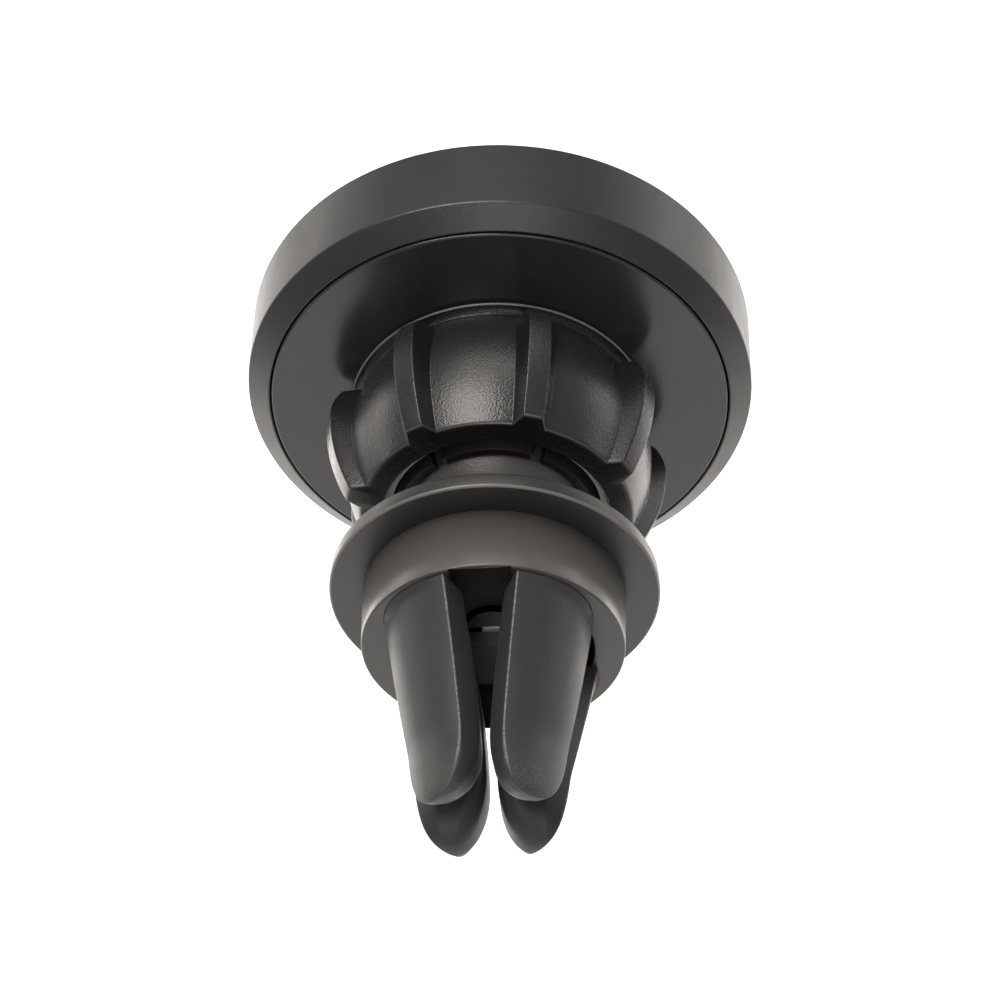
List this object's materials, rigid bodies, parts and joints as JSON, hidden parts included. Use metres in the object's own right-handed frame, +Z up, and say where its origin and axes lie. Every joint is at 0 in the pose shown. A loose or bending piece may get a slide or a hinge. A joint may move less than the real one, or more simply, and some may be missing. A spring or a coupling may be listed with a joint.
{
  "type": "car vent phone mount",
  "caption": "Magnetic car phone mount: a round head on a locking ball joint, with pinching prongs that grip an air-vent blade.",
  "frame": {"origin": "middle of the collar's end face, where a pushed-in vent blade stops", "axes": "+Y along the axis towards the prong tips, -Y towards the phone, +Z up in use"},
  "size_m": [0.0454, 0.0535, 0.0454],
  "materials": {
    "head_plastic": "satin black, fine moulded texture",
    "cover_plastic": "semi-gloss black",
    "pad_rubber": "matte black, fine concentric ribs",
    "adhesive": "thin foam film",
    "magnet_nickel": "nickel plated",
    "inner_plastic": "plain black nylon",
    "yoke_steel": "zinc plated",
    "socket_plastic": "satin black",
    "screw_steel": "black oxide, worn bare in the drive slot",
    "slip_plastic": "natural acetal",
    "grip_rubber": "dense black rubber",
    "nut_plastic": "satin black, fine grain",
    "stud_plastic": "satin black",
    "collar_plastic": "satin black",
    "prong_silicone": "matte grey-black silicone"
  },
  "bodies": {
    "clip": {"ball_stud": "stud_plastic", "clip_collar": "collar_plastic", "prong_carrier": "inner_plastic", "stud_screw": "screw_steel", "screw_washer": "screw_steel"},
    "seat": {"ball_seat": "slip_plastic"},
    "ring": {"friction_ring": "grip_rubber"},
    "head": {"head_shell": "head_plastic", "back_cover": "cover_plastic", "face_pad": "pad_rubber", "pad_adhesive": "adhesive", "magnets": "magnet_nickel", "magnet_holder": "inner_plastic", "yoke_plate": "yoke_steel", "ball_socket": "socket_plastic", "socket_screws": "screw_steel"},
    "slip": {"slip_ring": "slip_plastic"},
    "nut": {"lock_nut": "nut_plastic"},
    "prong_1": {"prong_core_1": "inner_plastic", "prong_sleeve_1": "prong_silicone"},
    "prong_2": {"prong_core_2": "inner_plastic", "prong_sleeve_2": "prong_silicone"},
    "prong_3": {"prong_core_3": "inner_plastic", "prong_sleeve_3": "prong_silicone"},
    "prong_4": {"prong_core_4": "inner_plastic", "prong_sleeve_4": "prong_silicone"}
  },
  "joints": [
    {"name": "ball_pitch", "type": "hinge", "parent": "clip", "child": "seat", "pos_m": [0, -0.0185, 0], "axis": [1, 0, 0], "range_deg": [-20, 20]},
    {"name": "ball_yaw", "type": "hinge", "parent": "seat", "child": "ring", "pos_m": [0, -0.0185, 0], "axis": [0, 0, 1], "range_deg": [-20, 20]},
    {"name": "head_spin", "type": "hinge", "parent": "ring", "child": "head", "pos_m": [0, -0.0185, 0], "axis": [0, 1, 0], "continuous": true},
    {"name": "nut_back_off", "type": "slide", "parent": "head", "child": "slip", "axis": [0, 1, 0], "range_m": [0, 0.00125]},
    {"name": "nut_turn", "type": "hinge", "parent": "slip", "child": "nut", "pos_m": [0, -0.0185, 0], "axis": [0, 1, 0], "range_deg": [0, 300]},
    {"name": "prong_1_flex", "type": "hinge", "parent": "clip", "child": "prong_1", "pos_m": [0.0047, -0.002, 0.0047], "axis": [0.7071, 0, -0.7071], "range_deg": [0, 3], "stiffness_Nm_per_rad": 0.6, "springref_deg": -0.57},
    {"name": "prong_2_flex", "type": "hinge", "parent": "clip", "child": "prong_2", "pos_m": [-0.0047, -0.002, 0.0047], "axis": [0.7071, 0, 0.7071], "range_deg": [0, 3], "stiffness_Nm_per_rad": 0.6, "springref_deg": -0.57},
    {"name": "prong_3_flex", "type": "hinge", "parent": "clip", "child": "prong_3", "pos_m": [-0.0047, -0.002, -0.0047], "axis": [-0.7071, 0, 0.7071], "range_deg": [0, 3], "stiffness_Nm_per_rad": 0.6, "springref_deg": -0.57},
    {"name": "prong_4_flex", "type": "hinge", "parent": "clip", "child": "prong_4", "pos_m": [0.0047, -0.002, -0.0047], "axis": [-0.7071, 0, -0.7071], "range_deg": [0, 3], "stiffness_Nm_per_rad": 0.6, "springref_deg": -0.57}
  ],
  "couplings": [
    {"joint": "nut_back_off", "follows": "nut_turn", "m_per_rad": 0.00023873}
  ]
}
